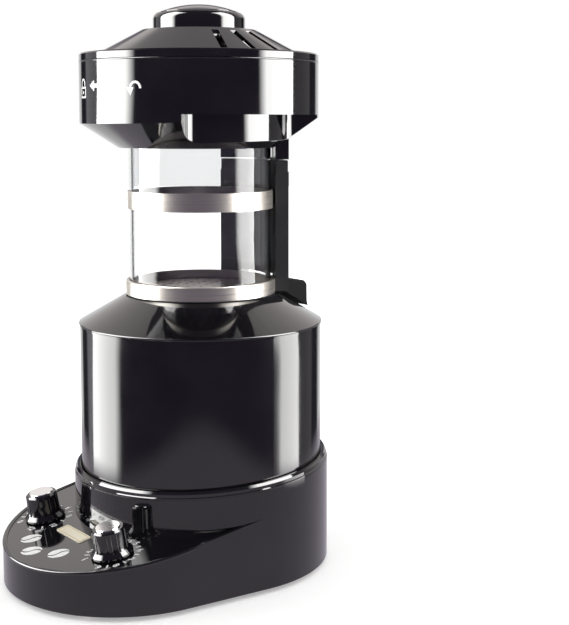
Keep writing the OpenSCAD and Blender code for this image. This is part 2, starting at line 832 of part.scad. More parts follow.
// Lever that lies on the shoulder and lifts to release the chamber
module release_lever() {
    rest_z = shoulder_z(0) + lever_rest;
    slope = tan(shoulder_slope);
    top = lever_z + lever_barrel_r;
    color(gloss_black) on_axis() difference() {
        union() {
            cross_rod(lever_barrel_r, lever_half, lever_y, lever_z);
            translate([-lever_half, 0, 0]) rotate([90, 0, 90]) linear_extrude(lever_w) polygon([
                [lever_y, top], [lever_y + 3.5, top - 0.9], [lever_y + 6.5, top - 2],
                [lever_y + 12.5, top - 3.4], [lever_end - 4.2, top - 3.1],
                [lever_end - 3, top - 3.5], [lever_end - 1, top - 5.7],
                [lever_end - 0.8, rest_z - slope * lever_end + 2.5],
                [lever_end, rest_z - slope * lever_end],
                [lever_y + 2, rest_z - slope * (lever_y + 2)], [lever_y, lever_z - lever_barrel_r]]);
        }
        cross_rod(lever_pin_r + fit, lever_pin_half, lever_y, lever_z);
    }
}

module lever_pin() {
    color(steel) on_axis() cross_rod(lever_pin_r, lever_pin_half, lever_y, lever_z);
}

// ---- Head ----

// The cup's outside: a drum whose lower edge is cut off by a slightly tilted cone
module cup_outside() {
    below = 20;
    intersection() {
        translate([0, 0, cup_z]) cylinder(r = cup_r, h = cup_h);
        cup_cone(below, 0);
    }
}

module cup_cone(below, lift) {
    translate([0, 0, cup_edge_z + lift]) rotate([cone_tilt, 0, 0]) translate([0, 0, -below])
        cylinder(r1 = cup_r - below * cone_slope, r2 = cup_r + 2 * cup_h * cone_slope, h = below + 2 * cup_h);
}

// Plan of one finger grip, towards +X
module grip2d(grow) {
    mid_r = grip_r + grip_round;
    end_half = grip_half + asin((grip_round + grow) / mid_r);
    rotate(-90) {
        sector2d(mid_r, cup_r + 10, end_half);
        sector2d(grip_r - grow, mid_r + 0.01, grip_half);
        for (side = [-1, 1]) rotate(side * grip_half) translate([0, mid_r]) circle(grip_round + grow);
    }
}

module grips(grow) {
    for (turn = [0, 180]) rotate(turn) translate([0, 0, cup_z - 1])
        linear_extrude(grip_h + 1 + grow) grip2d(grow);
}

module chaff_cup() {
    color(gloss_black) on_axis() difference() {
        cup_outside();
        difference() {
            intersection() {
                translate([0, 0, cup_floor_top]) cylinder(r = cup_r - cup_wall, h = cup_h);
                cup_cone(15, cone_wall);
            }
            grips(cup_wall);
        }
        grips(0);
        translate([0, 0, cup_z - 1]) cylinder(r = cup_bore_r, h = cup_floor_z - cup_z + 1);
        translate([0, 0, cup_z]) cylinder(r = chimney_r + chimney_wall + 0.2, h = cup_h);
    }
}

// Arm under the cup that hangs the head on the column
module hinge_arm() {
    color(gloss_black) on_axis() difference() {
        union() {
            difference() {
                translate([0, 0, arm_z]) linear_extrude(cone_h)
                    sector2d(column_in_r + 0.3, column_r, column_half);
                cup_outside();
            }
            cross_rod(knuckle_r, knuckle_half, hinge_y, hinge_z);
            translate([-knuckle_half, hinge_y - knuckle_r, hinge_z])
                cube([2 * knuckle_half, knuckle_r, arm_z - hinge_z + 1]);
        }
        cross_rod(hinge_pin_r + fit, pin_half, hinge_y, hinge_z);
    }
}

module chimney_tube() {
    color(steel) on_axis() {
        ring(chimney_r, chimney_r + chimney_wall, cup_floor_top - cup_floor_t, chimney_h + cup_floor_t);
        ring(chimney_r + chimney_wall - 0.1, chimney_r + 5, cup_floor_top, 1.2);
    }
}

module cup_gasket() {
    color("#1a1a1a") on_axis()
        ring(glass_r - glass_t + 0.1, cup_bore_r - 0.1, glass_top + gap, cup_floor_z - glass_top - gap);
}

// Ring that twists to lock the lid's seat onto the cup
module lock_ring() {
    color(gloss_black) on_axis() rotate_extrude() polygon([
        [lock_spigot_r - 3.1, lock_z - lock_spigot_h], [lock_spigot_r, lock_z - lock_spigot_h],
        [lock_spigot_r, lock_z], [cup_r, lock_z], [cup_r, lock_top - 0.8], [cup_r - 0.8, lock_top],
        [lock_in_r, lock_top], [lock_in_r, ledge_top], [lock_in_r - 3.3, ledge_top],
        [lock_in_r - 3.3, ledge_top - 1.5], [lock_spigot_r - 3.1, lock_z]]);
}

// ---- Lid ----

module vent_lid() {
    under = lid_drop;
    spigot_in = lid_spigot_r - lid_spigot_t;
    slot_in = lid_top_r + 3;
    slot_out = lid_r - 1.5;
    color(gloss_black) on_axis() difference() {
        rotate_extrude() polygon([[lid_screw_r + 0.3, lid_top_z], [lid_top_r, lid_top_z],
            [lid_r, lid_edge_z], [lid_r, lid_edge_z - lid_rim_t], [lid_spigot_r, lid_edge_z - lid_rim_t],
            [lid_spigot_r, lid_edge_z - lid_rim_t - lid_spigot_h],
            [spigot_in, lid_edge_z - lid_rim_t - lid_spigot_h], [spigot_in, lid_z(spigot_in) - under],
            [lid_top_r - 0.5, lid_top_z - lid_t], [lid_screw_r + 0.3, lid_top_z - lid_t]]);
        for (i = [0:vent_count - 1]) rotate((i - (vent_count - 1) / 2) * vent_pitch)
            translate([-vent_w / 2, slot_in, lid_z(spigot_in) - under - 0.3])
                cube([vent_w, slot_out - slot_in, lid_rise + under]);
    }
}

// Square mesh that keeps the chaff in, under the lid
module chaff_screen() {
    mesh_r = lid_spigot_r - 0.2;
    pitch = 9.6;
    bar = 2;
    count = 4;
    color("#8f9396") on_axis() translate([0, 0, lid_edge_z - lid_rim_t - lid_spigot_h - screen_t])
        difference() {
            cylinder(r = mesh_r, h = screen_t);
            for (i = [-count:count], j = [-count:count])
                if (norm([i, j]) * pitch + 0.75 * pitch < mesh_r)
                    translate([i * pitch - (pitch - bar) / 2, j * pitch - (pitch - bar) / 2, -1])
                        cube([pitch - bar, pitch - bar, screen_t + 2]);
        }
}

module lid_knob() {
    dome_r = 58;
    corner_r = 4;
    side_h = lid_knob_h - 8.5;
    top_z = lid_top_z + lid_knob_h;
    color(gloss_black) on_axis() difference() {
        rotate_extrude() intersection() {
            translate([0, top_z - dome_r]) circle(dome_r);
            translate([0, lid_top_z]) union() {
                square([lid_knob_r, side_h]);
                square([lid_knob_r - corner_r, lid_knob_h]);
                translate([lid_knob_r - corner_r, side_h]) circle(corner_r);
            }
            translate([0, lid_top_z]) square([lid_knob_r, lid_knob_h]);
        }
        ring(5, lid_knob_r - 2.6, lid_top_z - 1, side_h + 1);
        translate([0, 0, lid_top_z - 1]) cylinder(r = lid_screw_r - fit, h = 9);
    }
}

module lid_knob_screw() {
    color(steel) on_axis() {
        translate([0, 0, lid_top_z - lid_t - 1.6]) cylinder(r = 3, h = 1.6);
        translate([0, 0, lid_top_z - lid_t]) cylinder(r = lid_screw_r - 2 * fit, h = lid_t + 7);
    }
}

base_shell();
base_trim_ring();
control_panel();
label_plate();
bottom_cover();
rubber_feet();
cover_screws();
cord_gland();
drum_shell();
shoulder_cone();
blower_housing();
motor_mount();
fan_motor();
fan_impeller();
heater_duct();
heater_frame();
heater_coil();
thermal_cutout();
control_board();
roast_pot();
timer_pot();
roast_knob();
roast_knob_cap();
roast_shaft();
timer_knob();
timer_knob_cap();
timer_shaft();
chamber_collar();
chamber_seal();
chamber_floor();
glass_foot_seal();
glass_cylinder();
band_clamp();
band_screw();
back_column();
column_foot();
column_cap();
hinge_pin();
release_lever();
lever_pin();
chaff_cup();
hinge_arm();
chimney_tube();
cup_gasket();
lock_ring();
vent_lid();
chaff_screen();
lid_knob();
lid_knob_screw();
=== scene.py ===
"""Looks of the home coffee bean roaster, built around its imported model. Metres, degrees."""

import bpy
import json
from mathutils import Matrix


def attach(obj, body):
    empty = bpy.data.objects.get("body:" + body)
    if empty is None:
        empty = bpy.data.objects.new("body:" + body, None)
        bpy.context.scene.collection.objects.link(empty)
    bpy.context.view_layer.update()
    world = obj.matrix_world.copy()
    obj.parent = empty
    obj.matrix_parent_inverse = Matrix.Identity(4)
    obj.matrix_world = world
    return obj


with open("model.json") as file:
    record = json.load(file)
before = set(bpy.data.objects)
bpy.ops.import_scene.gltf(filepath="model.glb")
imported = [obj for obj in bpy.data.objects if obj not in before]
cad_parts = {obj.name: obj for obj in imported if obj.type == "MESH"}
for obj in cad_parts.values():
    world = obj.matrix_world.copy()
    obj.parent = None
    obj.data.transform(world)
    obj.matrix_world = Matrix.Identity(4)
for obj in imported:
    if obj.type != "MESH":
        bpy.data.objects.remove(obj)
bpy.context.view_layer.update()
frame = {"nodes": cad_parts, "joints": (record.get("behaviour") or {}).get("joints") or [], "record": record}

import json
import math

import bmesh
import bpy
from mathutils import Matrix, Vector
from mathutils.geometry import tessellate_polygon

MM = 0.001
NODES = frame["nodes"]
JOINT_AT = {row["name"]: row["pos_m"] for row in frame["joints"] if "pos_m" in row}

# ---- Sizes that follow the part's source ----

AXIS_Y = JOINT_AT["fan_spin"][1]            # the drum's axis
BASE_R = 72 * MM
LOBE_R = 68 * MM
LOBE_REACH = 48.8 * MM                      # from the drum's axis to the lobe's
LOBE_Y = AXIS_Y - LOBE_REACH
PANEL_H = 42.7 * MM                         # the panel's plane, on the drum's axis
PANEL_FALL = math.radians(9.8)

# These are in millimetres, as the marks are drawn. X is across the panel, and V runs up its slope
# from the drum's axis.
KNOB_X = JOINT_AT["roast_dial_turn"][0] / MM
KNOB_V = (JOINT_AT["roast_dial_turn"][1] - AXIS_Y) / MM / math.cos(PANEL_FALL)
KNOB_LIFT = 0.4
KNOB_SIDE = [(11.0, 1.0), (9.3, 3.0), (8.9, 4.0), (8.6, 13.2), (7.9, 13.95)]  # radius, height
PANEL_SINK = 0.4
PLATE_X, PLATE_V = -2.5, -82.9              # the cream plate's middle
PLATE_W, PLATE_L, PLATE_T = 26, 7.5, 0.5
CUP_R = 66.6

# ---- Beads on rounded edges, in millimetres ----

PANEL_BEAD = (0.85, 1.15)     # how far its middle is set in, and its radius
RING_BEADS = [                # piece, body, ring's radius, height, bead's radius
    ("shoulder_rim", "base", 67.95, 137.25, 0.75),
    ("cup_rim", "head", 66.3, 281.65, 0.5)]

# ---- Printed marks, in millimetres and degrees ----

SCALE_HALF = 150              # how far a dial turns to each side
TICK_FROM, TICK_TO, TICK_W = 12.4, 15.2, 0.8
NUMBER_R, NUMBER_SIZE, NUMBER_WEIGHT = 14.1, 4.9, 0.1
POINTER_W = 0.7
BEAN_SIGNS = [(-18.0, -100.5, 52), (-3.7, -107.5, 40), (11.8, -99.7, 60)]   # X, V, turn
FRAME_IN, FRAME_LINE = 1.4, 0.5                     # the plate's printed frame
PADLOCK_AT, ARROW_AT, HOOK_AT = -12.5, -4.4, 26.5   # round the cup, from the front
PADLOCK_H, ARROW_H, HOOK_H = 265.4, 268.2, 266.0    # above the table

# ---- Photograph's viewpoint ----

VIEW_AZIMUTH = 56.061         # from the front towards the right-hand side
VIEW_DISTANCE = 0.690162
VIEW_HEIGHT = 0.25
VIEW_YAW = -3.952
VIEW_PITCH = 5.33
VIEW_LENS = 70.42             # on a sensor 36 wide
VIEW_SHIFT = -0.125

# ---- Studio ----

# The side lamps: (height, outer angle, inner angle) from the bottom up. Angles in the studio run
# round the drum's axis, from the camera's side towards the picture's right.
FILLS = {"left": [(0.0, -120, -70), (0.9, -120, -70)],
         "right": [(0.0, 110, 60), (0.9, 110, 60)]}
SHEENS = {"left": [(-0.45, -122, -79), (-0.05, -119, -77), (0.09, -116.6, -69),
                   (0.29, -108, -60), (1.1, -108, -58), (2.0, -112, -45)],
          "right": [(-0.45, 102, 73), (-0.05, 102, 73), (0.09, 94.5, 57),
                    (0.29, 96, 55), (1.1, 96, 53), (2.0, 100, 42)]}
FILL_DISTANCE, FILL_POWER = 1.0, (2.2, 2.2)     # power low down and higher up
SHEEN_DISTANCE, SHEEN_POWER = 0.95, (8, 16)
SOFT_EDGE = 0.8                                 # where a lamp starts to fade across


def rgb(r, g, b):
    return (r, g, b, 1.0)


WHITE = rgb(1, 1, 1)
DARK = rgb(0.1, 0.085, 0.13)
FLAG = rgb(0.03, 0.03, 0.04)
DUSK = rgb(0.6, 0.6, 0.64)
SHADE = rgb(0.27, 0.26, 0.27)
WALL = rgb(1.0, 0.94, 0.92)
CEILING = rgb(0.1, 0.09, 0.12)
# What gloss sees round the horizon: (angle, colour)
HORIZON = [(-180, WHITE), (-153, WHITE), (-149, FLAG), (-137, FLAG), (-133, DUSK), (-105, DUSK),
           (-95, DARK), (90, DARK), (98, SHADE), (128, SHADE), (132, FLAG), (146, FLAG),
           (151, WHITE), (180, WHITE)]
# Where gloss sees the room change, as sines of angles: (start, end) of each soft step
WALL_REACH = (0.1, 0.6)       # round to the back, where the wall stands
WALL_FOOT = (0.12, 0.3)       # up, from the horizon's colours to the wall
GAP_FOOT, GAP_TOP = (0.12, 0.2), (0.43, 0.35)   # a dark gap low in the wall's middle
GAP_SIDE = (0.13, 0.3)        # sideways, to the gap's ends
GAP_DEPTH = 0.88              # the share of the wall's light that it takes away
HIGH_WALL, HIGH_DEPTH = (0.5, 0.62), 0.5        # the dimmer middle of the wall's top
CEILING_FOOT = (0.82, 0.93)

FLOOR_R = 4.0
FLOOR_SINK = 0.0002
FLOOR_FADE = (0.12, 0.26)     # from the object's shadow out to plain white
TABLE_REACH = (0.42, 0.25, 1)     # of the table that gloss sees: towards the camera, and aside
TABLE_EDGE = (0.92, 1.15)     # its soft edge, in parts of that
TABLE_SHEEN = 0.56


# ---- Node and mesh helpers ----

class Nodes:
    """A node tree, with one-line calls for its nodes."""

    def __init__(self, tree):
        self.tree = tree

    def put(self, socket, value):
        if isinstance(value, bpy.types.NodeSocket):
            self.tree.links.new(value, socket)
        else:
            socket.default_value = value

    def add(self, kind, settings=(), *values, **sockets):
        """Adds a node. Its sockets are filled in their order, and then by name."""
        node = self.tree.nodes.new(kind)
        for key, value in dict(settings).items():
            setattr(node, key, value)
        for socket, value in zip(node.inputs, values):
            self.put(socket, value)
        for key, value in sockets.items():
            self.put(node.inputs[key.replace("_", " ")], value)
        return node

    def calc(self, operation, *values):
        return self.add("ShaderNodeMath", {"operation": operation}, *values).outputs[0]

    def blend(self, fac, first, second):
        """Mixes two colours."""
        node = self.add("ShaderNodeMix", {"data_type": "RGBA"})
        for index, value in ((0, fac), (6, first), (7, second)):
            self.put(node.inputs[index], value)
        return node.outputs[2]

    def spread(self, value, low, high, start=0.3, end=0.7, ease="LINEAR"):
        """Maps a value between start and end to low and high. A noise keeps to the usual range."""
        settings = {"interpolation_type": ease}
        node = self.add("ShaderNodeMapRange", settings, value, start, end, low, high)
        return node.outputs["Result"]

    def light_path(self):
        return self.add("ShaderNodeLightPath").outputs

    def seen(self):
        """1 for what the camera sees, by itself or through glass, and 0 for light and gloss."""
        path = self.light_path()
        straight = self.calc("LESS_THAN", path["Glossy Depth"], 0.5)
        through = self.calc("MULTIPLY", path["Is Transmission Ray"], straight)
        return self.calc("MAXIMUM", path["Is Camera Ray"], through)


class Shader(Nodes):
    """A material's node tree."""

    def __init__(self, name):
        self.material = bpy.data.materials.new(name)
        self.material.use_nodes = True
        super().__init__(self.material.node_tree)
        self.surface = self.tree.nodes["Principled BSDF"]
        self.output = self.tree.nodes["Material Output"]
        self.place = self.add("ShaderNodeTexCoord").outputs["Object"]

    def finish(self, **sockets):
        for key, value in sockets.items():
            self.put(self.surface.inputs[key.replace("_", " ")], value)
        return self.material

    def show(self, shader):
        """Puts another shader's node in the surface's place."""
        self.put(self.output.inputs["Surface"], shader.outputs[0])
        return self.material

    def either(self, fac, first, second):
        """Mixes two shaders' nodes."""
        return self.add("ShaderNodeMixShader", {}, fac, first.outputs[0], second.outputs[0])

    def stretched(self, x, y, z):
        """The object's place, scaled along each axis."""
        return self.add("ShaderNodeMapping", Vector=self.place, Scale=(x, y, z)).outputs["Vector"]

    def distance(self, vector):
        return self.add("ShaderNodeVectorMath", {"operation": "LENGTH"}, vector).outputs["Value"]

    def split(self, vector):
        return self.add("ShaderNodeSeparateXYZ", {}, vector).outputs

    def noise(self, scale, detail=3.0, rough=0.5, at=None):
        node = self.add("ShaderNodeTexNoise", Vector=at or self.place,
                        Scale=scale, Detail=detail, Roughness=rough)
        return node.outputs["Fac"]

    def bump(self, height, distance, strength=1.0):
        node = self.add("ShaderNodeBump", Height=height, Strength=strength, Distance=distance)
        return node.outputs["Normal"]


def new_object(name, mesh, material):
    """Turns a finished bmesh into an object."""
    data = bpy.data.meshes.new(name)
    mesh.to_mesh(data)
    mesh.free()
    data.materials.append(material)
    made = bpy.data.objects.new(name, data)
    bpy.context.scene.collection.objects.link(made)
    return made


def new_piece(name, mesh, look, body):
    """Turns a finished bmesh into a closed piece of the object, with its faces outward."""
    bmesh.ops.recalc_face_normals(mesh, faces=mesh.faces)
    piece = new_object(name, mesh, LOOKS[look])
    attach(piece, body)


# ---- Materials ----
# A noise's scale is in spots a metre, and a bump's depth in metres.

def gloss_black(name, wave, stretch=(1, 1, 1), rough=0.05):
    """Piano-black moulding: a deep base under a hard gloss, with faint ripple, haze and dust."""
    s = Shader(name)
    haze = s.noise(35, 4)
    dust = s.spread(s.noise(2600, 2, 0.6), 0, 0.05, 0.7, 0.8)
    ripple = s.noise(28, 2, at=s.stretched(*stretch))
    tint = s.blend(s.spread(haze, 0, 1), rgb(0.003, 0.003, 0.004), rgb(0.007, 0.006, 0.008))
    return s.finish(Base_Color=s.blend(dust, tint, rgb(0.25, 0.25, 0.27)),
                    Roughness=s.spread(haze, rough, rough + 0.035),
                    Specular_IOR_Level=0.5, IOR=1.52,
                    Coat_Weight=0.35, Coat_Roughness=0.03, Coat_IOR=1.5,
                    Normal=s.bump(ripple, wave))


def satin_black(name, rough=0.36, gloss=0.5, low=0.017, high=0.03):
    """Spark-eroded dark plastic."""
    s = Shader(name)
    grain = s.noise(1900, 3, 0.6)
    mottle = s.spread(s.noise(40, 3), 0, 1)
    tint = s.blend(mottle, rgb(low, low, low * 1.1), rgb(high, high, high * 1.06))
    return s.finish(Base_Color=tint, Roughness=s.spread(grain, rough, rough + 0.16),
                    IOR=1.5, Specular_IOR_Level=gloss,
                    Normal=s.bump(grain, 0.03 * MM, 0.6))


def brushed_steel(name, stretch):
    """Stainless steel with brush lines along one direction."""
    s = Shader(name)
    lines = s.noise(100, 4, 0.6, at=s.stretched(*stretch))
    soft = s.spread(s.noise(45, 3), 0, 0.35)
    colour = s.blend(s.spread(lines, 0, 1), rgb(0.63, 0.59, 0.53), rgb(0.71, 0.67, 0.61))
    return s.finish(Base_Color=s.blend(soft, colour, rgb(0.58, 0.54, 0.49)), Metallic=1.0,
                    Roughness=s.spread(lines, 0.26, 0.33),
                    Normal=s.bump(lines, 0.002 * MM, 0.5))


def plated(name, rough=0.08):
    """Bright trim with a light spin-brushed grain."""
    s = Shader(name)
    grain = s.noise(900, 4, 0.6)
    colour = s.blend(s.spread(grain, 0, 1), rgb(0.88, 0.88, 0.88), rgb(0.94, 0.94, 0.93))
    return s.finish(Base_Color=colour, Metallic=1.0,
                    Roughness=s.spread(grain, rough, rough + 0.07),
                    Normal=s.bump(grain, 0.004 * MM, 0.4))


def clear_glass(name):
    """Blown heat-proof glass, with faint smears and a slow wave."""
    s = Shader(name)
    smear = s.noise(18, 4, at=s.stretched(1, 1, 0.35))
    wave = s.noise(14, 1, at=s.stretched(1, 1, 0.3))
    return s.finish(Base_Color=rgb(0.985, 0.99, 0.99),
                    Roughness=s.spread(smear, 0.0, 0.012, 0.45, 0.75),
                    IOR=1.47, Transmission_Weight=1.0,
                    Normal=s.bump(wave, 0.05 * MM, 0.25))


def matte(name, low, high, rough, scale, depth):
    """A dull material whose colour and surface vary. Its depth is in millimetres."""
    s = Shader(name)
    grain = s.noise(scale, 4, 0.6)
    mottle = s.spread(s.noise(scale / 20, 3), 0, 1)
    return s.finish(Base_Color=s.blend(mottle, rgb(*low), rgb(*high)),
                    Roughness=s.spread(grain, rough - 0.08, rough + 0.08),
                    Normal=s.bump(grain, depth * MM, 0.6))


def heating_wire(name):
    """Wire with a burnt, scaly skin."""
    s = Shader(name)
    scales = s.noise(1500, 4)
    colour = s.blend(s.spread(scales, 0, 1), rgb(0.2, 0.17, 0.15), rgb(0.42, 0.38, 0.35))
    return s.finish(Base_Color=colour, Metallic=1.0, Roughness=s.spread(scales, 0.3, 0.5),
                    Normal=s.bump(scales, 0.02 * MM, 0.5))


RIM_BRUSH = (0.05, 0.05, 40)  # lines that run round a vertical axis
FLAT_BRUSH = (0.05, 40, 40)   # lines that run along X

LOOKS = {
    "drum": gloss_black("drum_lacquer", 0.3 * MM, (1.6, 1.6, 0.25), 0.1),
    "moulding": gloss_black("gloss_moulding", 0.05 * MM),
    "panel": gloss_black("panel_film", 0.02 * MM),
    "satin": satin_black("satin_moulding"),
    "dull": satin_black("dull_moulding", 0.5, 0.04, 0.006, 0.011),
    "round_steel": brushed_steel("round_brushed_steel", RIM_BRUSH),
    "flat_steel": brushed_steel("flat_brushed_steel", FLAT_BRUSH),
    "plated": plated("silver_trim"),
    "glass": clear_glass("chamber_glass"),
    "rubber": matte("black_rubber", (0.012, 0.012, 0.012), (0.022, 0.022, 0.021), 0.75, 1400, 0.05),
    "cream": matte("cream_plate", (0.72, 0.66, 0.5), (0.8, 0.75, 0.6), 0.5, 900, 0.02),
    "board": matte("board_lacquer", (0.02, 0.09, 0.035), (0.035, 0.13, 0.05), 0.35, 300, 0.03),
    "mica": matte("mica_sheet", (0.42, 0.36, 0.24), (0.55, 0.48, 0.34), 0.45, 500, 0.06),
    "wire": heating_wire("heating_wire"),
    "gold": matte("gold_ink", (0.5, 0.4, 0.22), (0.58, 0.47, 0.27), 0.45, 700, 0.01),
    "ink": matte("white_ink", (0.8, 0.8, 0.79), (0.86, 0.86, 0.85), 0.45, 700, 0.01),
}

SLOT_LOOKS = {
    "gloss_black": "moulding", "satin_black": "satin", "steel": "round_steel", "plated": "plated",
    "glass": "glass", "rubber": "rubber", "label": "cream", "board": "board", "mica": "mica",
    "wire": "wire"}
NODE_LOOKS = {
    "drum_shell": "drum", "control_panel": "panel", "roast_knob": "moulding",
    "timer_knob": "moulding", "cover_screws": "flat_steel", "band_screw": "flat_steel",
    "release_lever": "dull", "back_column": "satin", "column_foot": "satin",
    "column_cap": "satin"}


def dress_nodes():
    slot_of = {row["node"]: row["material_slot"] for row in frame["record"]["subparts"]}
    for name, node in NODES.items():
        look = NODE_LOOKS.get(name) or SLOT_LOOKS[slot_of[name]]
        node.data.materials.clear()
        node.data.materials.append(LOOKS[look])


# ---- Softened edges ----

EDGES = {                     # millimetres
    "base_shell": 1.1, "control_panel": 0.15, "shoulder_cone": 0.8, "drum_shell": 0.6,
    "chaff_cup": 0.6, "lock_ring": 0.7, "vent_lid": 0.35, "chamber_collar": 0.25,
    "band_clamp": 0.15, "back_column": 0.4, "column_foot": 0.3, "column_cap": 0.3,
    "release_lever": 0.4, "roast_knob": 0.2, "timer_knob": 0.2, "roast_knob_cap": 0.2,
    "timer_knob_cap": 0.2, "rubber_feet": 0.3, "hinge_arm": 0.3, "label_plate": 0.1}
SHARP_FROM = math.radians(35)


def soften_edges():
    for name, width in EDGES.items():
        bevel = NODES[name].modifiers.new("soft_edges", "BEVEL")
        bevel.width = width * MM
        bevel.segments = 3
        bevel.limit_method = "ANGLE"
        bevel.angle_limit = SHARP_FROM
        bevel.harden_normals = True


# ---- Rounded edges of the mouldings ----

def bead(name, body, path, radius, closed, steps=10):
    """A round bead along a path of (place, radius factor)."""
    mesh = bmesh.new()
    rings = []
    count = len(path)
    for i, (place, part) in enumerate(path):
        before = path[(i - 1) % count if closed else max(i - 1, 0)][0]
        after = path[(i + 1) % count if closed else min(i + 1, count - 1)][0]
        along = (after - before).normalized()
        side = along.cross(Vector((0, 0, 1))).normalized()
        up = side.cross(along)
        turns = [2 * math.pi * k / steps for k in range(steps)]
        spokes = [radius * part * (math.cos(t) * side + math.sin(t) * up) for t in turns]
        rings.append([mesh.verts.new(place + spoke) for spoke in spokes])
    for i in range(count if closed else count - 1):
        low, high = rings[i], rings[(i + 1) % count]
        for k in range(steps):
            face = mesh.faces.new((low[k], low[(k + 1) % steps], high[(k + 1) % steps], high[k]))
            face.smooth = True
    if not closed:
        mesh.faces.new(rings[0])
        mesh.faces.new(rings[-1][::-1])
    new_piece(name, mesh, "moulding", body)


def ring_path(radius, height, count=160):
    """A circle round the drum's axis."""
    turns = [2 * math.pi * i / count for i in range(count)]
    return [(Vector((radius * math.cos(t), AXIS_Y + radius * math.sin(t), height)), 1.0)
            for t in turns]


def rim_path(inset, drop, round_steps=120, side_steps=12, side_part=0.96, end_part=0.25, taper=6):
    """The control lobe's rim, from one side of the drum round the front to the other.

    Round the lobe it is an arc, and on to the drum it runs along the sides, for side_part of them.
    The bead thins to end_part over its last taper steps.
    """
    lean = math.asin((BASE_R - LOBE_R) / (AXIS_Y - LOBE_Y))
    places = []
    for i in range(round_steps + 1):
        turn = -lean + (math.pi + 2 * lean) * i / round_steps
        out_x, out_y = math.cos(turn), -math.sin(turn)
        places.append((LOBE_R * out_x, LOBE_Y + LOBE_R * out_y, out_x, out_y))
    start, end = places[0], places[-1]
    for i in range(1, side_steps + 1):
        part = i / side_steps * side_part
        y = start[1] + part * (AXIS_Y - LOBE_Y) * math.cos(lean) ** 2
        x = start[0] + (y - start[1]) * math.tan(lean)
        places.insert(0, (x, y, start[2], start[3]))
        places.append((-x, y, end[2], end[3]))
    path = []
    for i, (x, y, out_x, out_y) in enumerate(places):
        z = PANEL_H + (y - AXIS_Y) * math.tan(PANEL_FALL)
        part = min(1.0, end_part + min(i, len(places) - 1 - i) / taper)
        path.append((Vector((x - inset * out_x, y - inset * out_y, z - drop)), part))
    return path


def rounded_edges():
    inset, radius = (size * MM for size in PANEL_BEAD)
    bead("panel_rim", "base", rim_path(inset, inset), radius, closed=False)
    for name, body, ring_r, height, bead_r in RING_BEADS:
        bead(name, body, ring_path(ring_r * MM, height * MM), bead_r * MM, closed=True)


# ---- Printed marks ----
# Drawn flat in millimetres, then laid on a surface by a function of (across, along, height).

def on_panel(u, v, h):
    """On the control panel: u to the right and v up its slope, from the drum's axis."""
    fall_y, fall_z = math.cos(PANEL_FALL), math.sin(PANEL_FALL)
    lift = h - PANEL_SINK
    return Vector((u, AXIS_Y / MM + v * fall_y - lift * fall_z,
                   PANEL_H / MM + v * fall_z + lift * fall_y)) * MM


def on_plate(u, v, h):
    """On the cream plate, from its own middle."""
    return on_panel(u + PLATE_X, v + PLATE_V, h + PLATE_T)


def on_cup(u, v, h):
    """Round the chaff cup: u along its circumference from the front, v above the table."""
    turn = u / CUP_R
    reach = (CUP_R + h) * MM
    return Vector((reach * math.sin(turn), AXIS_Y - reach * math.cos(turn), v * MM))


def oval(x, y, a, b, start=0, end=360, steps=32):
    """Points of an oval's arc; a whole oval isn't closed twice."""
    count = steps if end - start == 360 else steps + 1
    turns = [math.radians(start + (end - start) * i / steps) for i in range(count)]
    return [(x + a * math.cos(t), y + b * math.sin(t)) for t in turns]


def stroke(points, width):
    """The outline of an open line of one width."""
    left, right = [], []
    for i, (x, y) in enumerate(points):
        x0, y0 = points[max(i - 1, 0)]
        x1, y1 = points[min(i + 1, len(points) - 1)]
        length = math.hypot(x1 - x0, y1 - y0)
        dx, dy = (x1 - x0) / length * width / 2, (y1 - y0) / length * width / 2
        left.append((x - dy, y + dx))
        right.append((x + dy, y - dx))
    return left + right[::-1]


def box_line(w, h, width, x=0, y=0):
    """A frame: its outline and its hole."""
    def corners(a, b):
        return [(x - a, y - b), (x + a, y - b), (x + a, y + b), (x - a, y + b)]
    return [corners(w / 2, h / 2), corners(w / 2 - width, h / 2 - width)]


def placed(loop, x, y, turn):
    c, s = math.cos(math.radians(turn)), math.sin(math.radians(turn))
    return [(x + u * c - v * s, y + u * s + v * c) for u, v in loop]


def bean_sign(x, y, turn, a=5.8, b=4.7, gap=0.6, reach=0.94, bow=0.27, steps=20):
    """A coffee bean's sign: two halves with a curved gap between them."""
    rim = oval(0, 0, a, b, 12, 168, 24)
    seam = [reach * a * (2 * i / steps - 1) for i in range(steps + 1)]
    wave = [(u, bow * b * math.sin(math.pi * u / a) + gap) for u in seam]
    return [[placed(rim + wave, x, y, turn + half)] for half in (0, 180)]


def padlock_sign(x, y, w=8, h=6, line=1.0, drop=0.6):
    """The body with its keyhole, and the shackle, which ends inside the body."""
    half, foot, bend, rise = 2.5, 1.5, 3.4, 3.0
    arc = oval(x, y + bend, half, rise, 0, 180, 16)
    shackle = [(x + half, y + foot), *arc, (x - half, y + foot)]
    return [[stroke(shackle, line)], box_line(w, h, line, x, y - drop),
            [oval(x, y - drop, 0.9, 0.9, steps=16)]]


def arrow_sign(x, y, length=9, head=5, half_head=3, half_shaft=1.1):
    """An arrow whose tip is at x and points to the left."""
    lower = [(x + head, y - half_head), (x + head, y - half_shaft), (x + length, y - half_shaft)]
    upper = [(u, 2 * y - v) for u, v in reversed(lower)]
    return [[(x, y), *lower, *upper]]


def hook_sign(x, y, a=3.1, b=3.6, line=1.3):
    """An arrow that turns over to the left and down: its hook and its tip."""
    left, right, top, bottom = -2.2, 2.3, 0.9, -3.4
    tip_x = x - a
    tip = [(tip_x + left, y + top), (tip_x + 0.2, y + bottom), (tip_x + right, y + top)]
    return [[stroke(oval(x, y, a, b, 5, 165, 20), line)], [tip]]


